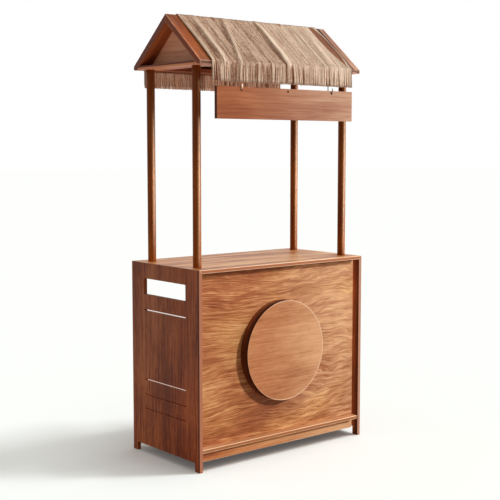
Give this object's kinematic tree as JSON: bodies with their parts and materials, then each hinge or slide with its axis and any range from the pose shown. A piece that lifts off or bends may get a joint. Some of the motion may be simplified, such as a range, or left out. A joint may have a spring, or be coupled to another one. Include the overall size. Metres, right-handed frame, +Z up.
{
  "type": "wooden market stall",
  "caption": "Free-standing wooden market stall: a board counter open at the back, round posts, a gable roof with a thatch cover and fringe, a round plaque and a hanging sign board.",
  "frame": {"origin": "on the floor, under the middle of the counter", "axes": "+X along the front to the right as a customer sees it, +Y to the back, +Z up; the front faces -Y"},
  "size_m": [1.056, 0.5765, 2.1408],
  "materials": {
    "counter_wood": "stained and clear-lacquered plywood board",
    "post_wood": "stained round wood",
    "roof_wood": "stained board",
    "thatch": "dry raffia strands",
    "sign_wood": "stained board",
    "hook_metal": "dull plated wire"
  },
  "bodies": {
    "stall": {"left_side_panel": "counter_wood", "right_side_panel": "counter_wood", "counter_top": "counter_wood", "base_shelf": "counter_wood", "front_panel": "counter_wood", "front_toe_rail": "counter_wood", "back_toe_rail": "counter_wood", "round_plaque": "counter_wood", "front_left_post": "post_wood", "front_right_post": "post_wood", "back_left_post": "post_wood", "back_right_post": "post_wood", "left_roof_plate": "roof_wood", "right_roof_plate": "roof_wood", "front_roof_plate": "roof_wood", "back_roof_plate": "roof_wood", "left_gable_panel": "roof_wood", "right_gable_panel": "roof_wood", "front_roof_board": "roof_wood", "back_roof_board": "roof_wood", "front_thatch": "thatch", "back_thatch": "thatch", "left_sign_hook": "hook_metal", "right_sign_hook": "hook_metal"},
    "sign": {"sign_board": "sign_wood"}
  },
  "joints": [
    {"name": "sign_swing", "type": "hinge", "parent": "stall", "child": "sign", "pos_m": [0, -0.2815, 1.791], "axis": [-1, 0, 0], "range_deg": [-40, 40]}
  ]
}
